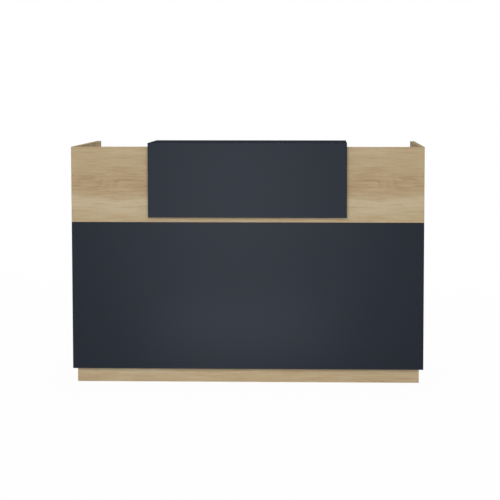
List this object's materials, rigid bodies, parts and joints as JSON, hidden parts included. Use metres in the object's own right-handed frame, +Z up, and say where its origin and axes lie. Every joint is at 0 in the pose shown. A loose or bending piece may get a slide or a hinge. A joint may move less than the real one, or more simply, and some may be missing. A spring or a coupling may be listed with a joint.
{
  "type": "reception desk",
  "caption": "Reception desk with oak gables and upper front, graphite lower front, a visitor's counter hung on the front, a worktop behind it and levelling feet under a recessed plinth.",
  "frame": {"origin": "on the floor under the middle of the desk's outline", "axes": "+X along the desk to the visitor's right, -Y towards the visitor, +Y towards the staff, +Z up"},
  "size_m": [1.6, 0.8, 1.1],
  "materials": {
    "oak_board": "melamine faced, oak print, matt",
    "graphite_board": "melamine faced, plain graphite, satin",
    "oak_edging": "oak print edge band, matt",
    "graphite_edging": "graphite edge band, satin",
    "beech": "planed, unfinished",
    "grey_steel": "powder coat, fine texture",
    "plated_steel": "zinc plated",
    "zinc": "die cast",
    "cap_plastic": "moulded, matt",
    "grey_plastic": "moulded, satin",
    "black_plastic": "moulded, matt"
  },
  "bodies": {
    "desk": {"angle_screws": "plated_steel", "base_angles": "plated_steel", "base_rail_edging": "oak_edging", "base_rail_front": "oak_board", "base_rail_left": "oak_board", "base_rail_right": "oak_board", "batten_screws": "plated_steel", "board_dowels": "beech", "cable_tray": "grey_steel", "cam_bolts": "plated_steel", "cam_caps": "cap_plastic", "cam_housings": "zinc", "counter_fascia": "graphite_board", "counter_fascia_edging": "graphite_edging", "counter_shelf": "graphite_board", "counter_shelf_edging": "graphite_edging", "fascia_screws": "plated_steel", "foot_screws": "plated_steel", "foot_socket_front_left": "black_plastic", "foot_socket_front_right": "black_plastic", "foot_socket_rear_left": "black_plastic", "foot_socket_rear_right": "black_plastic", "left_counter_support": "oak_board", "left_gable": "oak_board", "left_gable_edging": "oak_edging", "left_port_liner": "grey_plastic", "left_support_edging": "oak_edging", "lower_front_edging": "graphite_edging", "lower_front_panel": "graphite_board", "plinth_edging": "oak_edging", "plinth_front": "oak_board", "plinth_left": "oak_board", "plinth_right": "oak_board", "right_counter_support": "oak_board", "right_gable": "oak_board", "right_gable_edging": "oak_edging", "right_port_liner": "grey_plastic", "right_support_edging": "oak_edging", "seam_dowels": "beech", "stiffener_rail": "grey_steel", "stiffener_screws": "plated_steel", "tray_screws": "plated_steel", "upper_front_edging": "oak_edging", "upper_front_panel": "oak_board", "worktop": "oak_board", "worktop_batten_front": "beech", "worktop_batten_left": "beech", "worktop_batten_right": "beech", "worktop_edging": "oak_edging"},
    "adjuster_front_left": {"foot_adjuster_front_left": "black_plastic"},
    "adjuster_front_right": {"foot_adjuster_front_right": "black_plastic"},
    "adjuster_rear_left": {"foot_adjuster_rear_left": "black_plastic"},
    "adjuster_rear_right": {"foot_adjuster_rear_right": "black_plastic"},
    "glide_front_left": {"foot_glide_front_left": "black_plastic"},
    "glide_front_right": {"foot_glide_front_right": "black_plastic"},
    "glide_rear_left": {"foot_glide_rear_left": "black_plastic"},
    "glide_rear_right": {"foot_glide_rear_right": "black_plastic"},
    "left_cap": {"left_port_cap": "grey_plastic"},
    "right_cap": {"right_port_cap": "grey_plastic"}
  },
  "joints": [
    {"name": "glide_front_left_slide", "type": "slide", "parent": "desk", "child": "glide_front_left", "axis": [0, 0, -1], "range_m": [0, 0.015]},
    {"name": "adjuster_front_left_turn", "type": "hinge", "parent": "glide_front_left", "child": "adjuster_front_left", "pos_m": [-0.728, -0.311, 0.02], "axis": [0, 0, -1], "range_deg": [0, 1800]},
    {"name": "glide_front_right_slide", "type": "slide", "parent": "desk", "child": "glide_front_right", "axis": [0, 0, -1], "range_m": [0, 0.015]},
    {"name": "adjuster_front_right_turn", "type": "hinge", "parent": "glide_front_right", "child": "adjuster_front_right", "pos_m": [0.728, -0.311, 0.02], "axis": [0, 0, -1], "range_deg": [0, 1800]},
    {"name": "glide_rear_left_slide", "type": "slide", "parent": "desk", "child": "glide_rear_left", "axis": [0, 0, -1], "range_m": [0, 0.015]},
    {"name": "adjuster_rear_left_turn", "type": "hinge", "parent": "glide_rear_left", "child": "adjuster_rear_left", "pos_m": [-0.728, 0.3, 0.02], "axis": [0, 0, -1], "range_deg": [0, 1800]},
    {"name": "glide_rear_right_slide", "type": "slide", "parent": "desk", "child": "glide_rear_right", "axis": [0, 0, -1], "range_m": [0, 0.015]},
    {"name": "adjuster_rear_right_turn", "type": "hinge", "parent": "glide_rear_right", "child": "adjuster_rear_right", "pos_m": [0.728, 0.3, 0.02], "axis": [0, 0, -1], "range_deg": [0, 1800]},
    {"name": "left_cap_turn", "type": "hinge", "parent": "desk", "child": "left_cap", "pos_m": [-0.599, -0.254, 0.741], "axis": [0, 0, 1], "continuous": true},
    {"name": "right_cap_turn", "type": "hinge", "parent": "desk", "child": "right_cap", "pos_m": [0.599, -0.254, 0.741], "axis": [0, 0, 1], "continuous": true}
  ],
  "couplings": [
    {"joint": "adjuster_front_left_turn", "follows": "glide_front_left_slide", "rad_per_m": 2094.4},
    {"joint": "adjuster_front_right_turn", "follows": "glide_front_right_slide", "rad_per_m": 2094.4},
    {"joint": "adjuster_rear_left_turn", "follows": "glide_rear_left_slide", "rad_per_m": 2094.4},
    {"joint": "adjuster_rear_right_turn", "follows": "glide_rear_right_slide", "rad_per_m": 2094.4}
  ]
}
